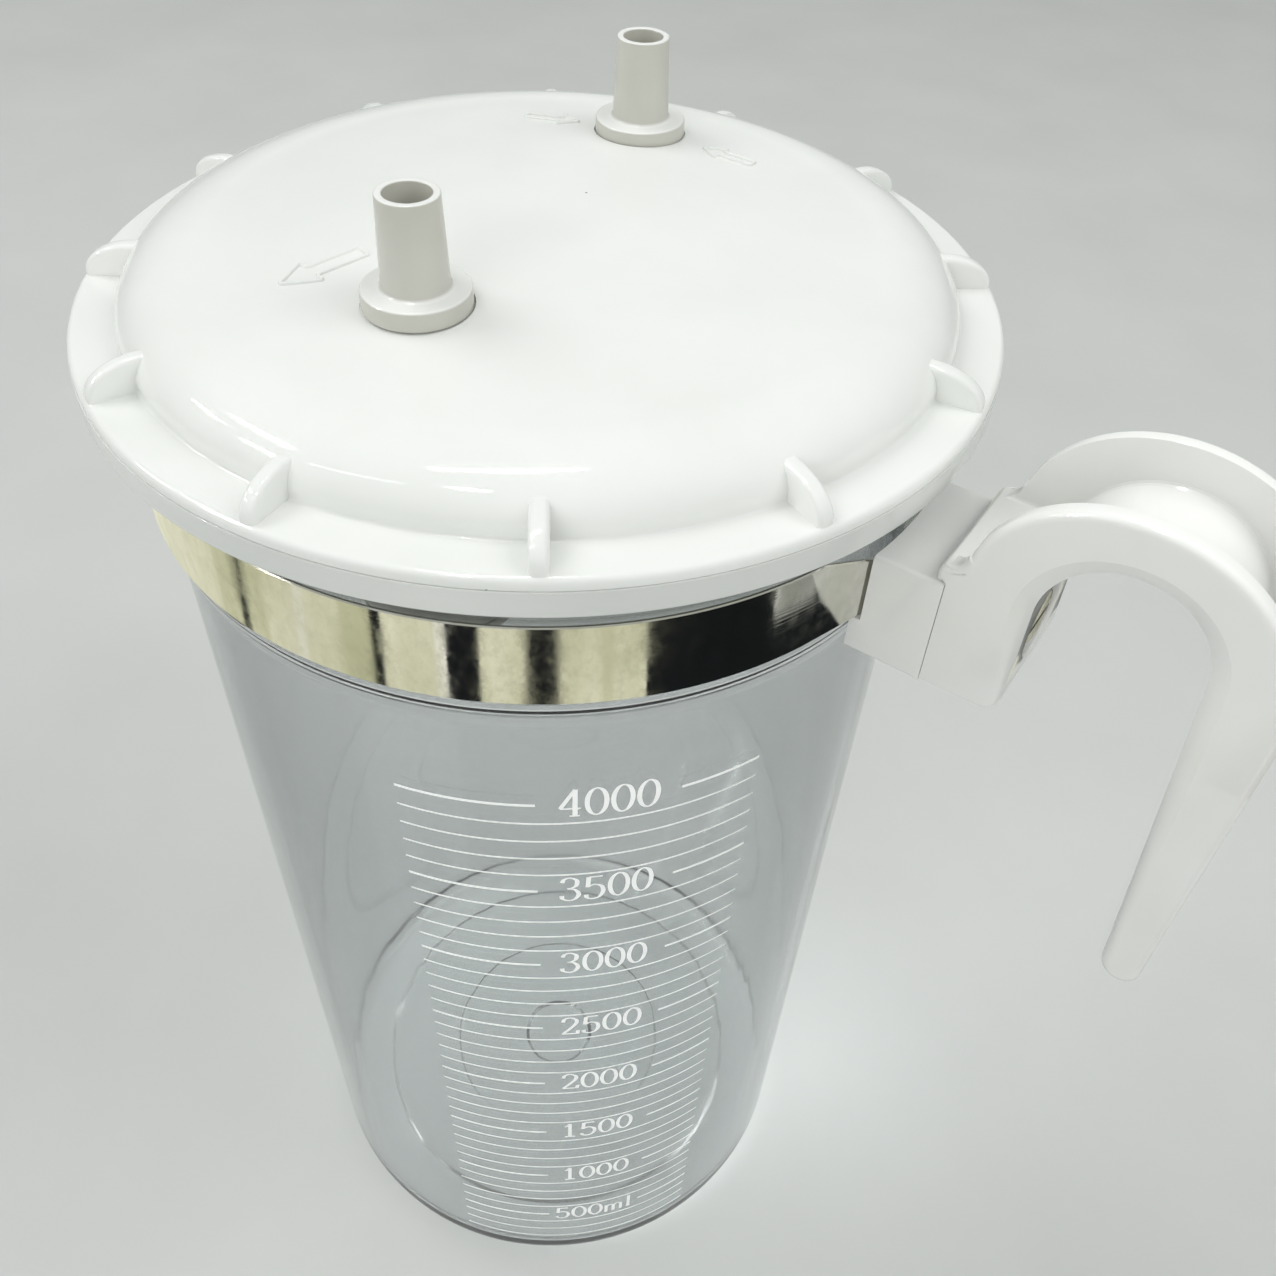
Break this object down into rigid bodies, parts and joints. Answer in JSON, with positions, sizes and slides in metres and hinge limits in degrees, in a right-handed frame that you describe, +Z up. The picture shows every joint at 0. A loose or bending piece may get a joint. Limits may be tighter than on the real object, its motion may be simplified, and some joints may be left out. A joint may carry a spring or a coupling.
{
  "type": "suction collection jar",
  "caption": "Clear graduated suction jar with a white push-in lid, hose ports, overflow float valve, and a steel band clamp that carries a rail hook.",
  "frame": {"origin": "centre of the jar's foot, on the jar's axis, in the plane it stands on", "axes": "+Z up along the jar's axis, +X from the jar's axis towards the rail hook"},
  "size_m": [0.238, 0.175, 0.3299],
  "materials": {
    "clear_polycarbonate": "clear moulded polycarbonate with a faint grey tint and printed white graduations",
    "white_abs": "glossy white moulded plastic",
    "port_abs": "slightly warm white moulded plastic, satin",
    "hook_abs": "glossy white moulded plastic with rounded rims",
    "natural_plastic": "unpigmented polypropylene",
    "float_plastic": "white foamed plastic",
    "seal_rubber": "soft dark silicone rubber",
    "stainless_strip": "polished stainless steel strip, lightly smudged",
    "steel_fastener": "bright zinc-plated steel"
  },
  "bodies": {
    "jar": {"jar": "clear_polycarbonate", "clamp_band": "stainless_strip", "clamp_block": "hook_abs", "nut_plate": "steel_fastener", "rail_hook": "hook_abs"},
    "lid_seal": {"lid_seal": "seal_rubber"},
    "lid": {"lid": "white_abs", "outlet_port": "port_abs", "outlet_port_gasket": "seal_rubber", "outlet_port_nut": "natural_plastic", "inlet_port": "port_abs", "inlet_port_gasket": "seal_rubber", "inlet_port_nut": "natural_plastic", "float_cage": "natural_plastic", "float_cage_base": "natural_plastic"},
    "float": {"float": "float_plastic", "float_pad": "seal_rubber"},
    "clamp_washers": {"flat_washer": "steel_fastener", "lock_washer": "steel_fastener"},
    "clamp_screw": {"clamp_screw": "steel_fastener"}
  },
  "joints": [
    {"name": "lid_lift", "type": "slide", "parent": "jar", "child": "lid_seal", "axis": [0, 0, 1], "range_m": [0, 0.06]},
    {"name": "lid_turn", "type": "hinge", "parent": "lid_seal", "child": "lid", "pos_m": [0, 0, 0.289], "axis": [0, 0, 1], "continuous": true},
    {"name": "float_rise", "type": "slide", "parent": "lid", "child": "float", "axis": [0, 0, 1], "range_m": [0, 0.0107]},
    {"name": "screw_travel", "type": "slide", "parent": "jar", "child": "clamp_washers", "axis": [1, 0, 0], "range_m": [0, 0.006]},
    {"name": "screw_turn", "type": "hinge", "parent": "clamp_washers", "child": "clamp_screw", "pos_m": [0.095, 0, 0.2705], "axis": [1, 0, 0], "range_deg": [0, 2160]}
  ],
  "couplings": [
    {"joint": "screw_turn", "follows": "screw_travel", "rad_per_m": 6283.2}
  ]
}
